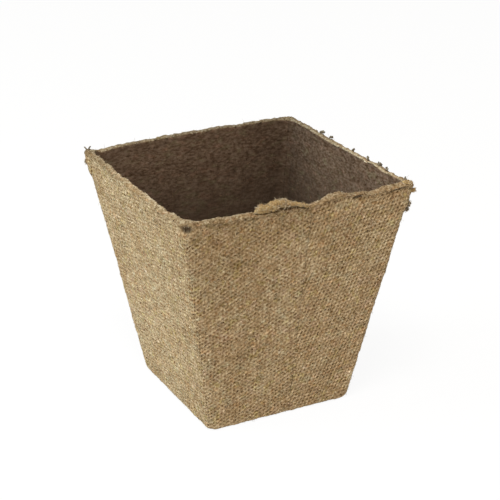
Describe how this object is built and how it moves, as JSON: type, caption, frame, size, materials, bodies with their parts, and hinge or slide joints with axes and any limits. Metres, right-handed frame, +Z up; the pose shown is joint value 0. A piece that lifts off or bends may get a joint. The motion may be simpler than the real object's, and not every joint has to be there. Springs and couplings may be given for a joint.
{
  "type": "peat pot",
  "caption": "Square tapered seedling pot of moulded peat and wood fibre, open at the top, with a torn, fibrous rim and a drain hole in its floor.",
  "frame": {"origin": "centre of the foot, on the surface that the pot stands on", "axes": "+Z up out of the open mouth; the wall with the curled strip of rim faces -Y; +X to the right of a viewer who faces that wall"},
  "size_m": [0.08, 0.08, 0.0809],
  "materials": {
    "felt": "rough moulded peat and wood fibre, unpainted",
    "straw": "dry straw fibre",
    "peat": "dry dark peat"
  },
  "bodies": {
    "root": {"pot_shell": "felt", "front_rim_curl": "felt", "right_corner_flakes": "felt", "left_corner_whisker": "straw", "edge_tufts": "felt", "rim_crumbs": "peat"}
  },
  "joints": []
}
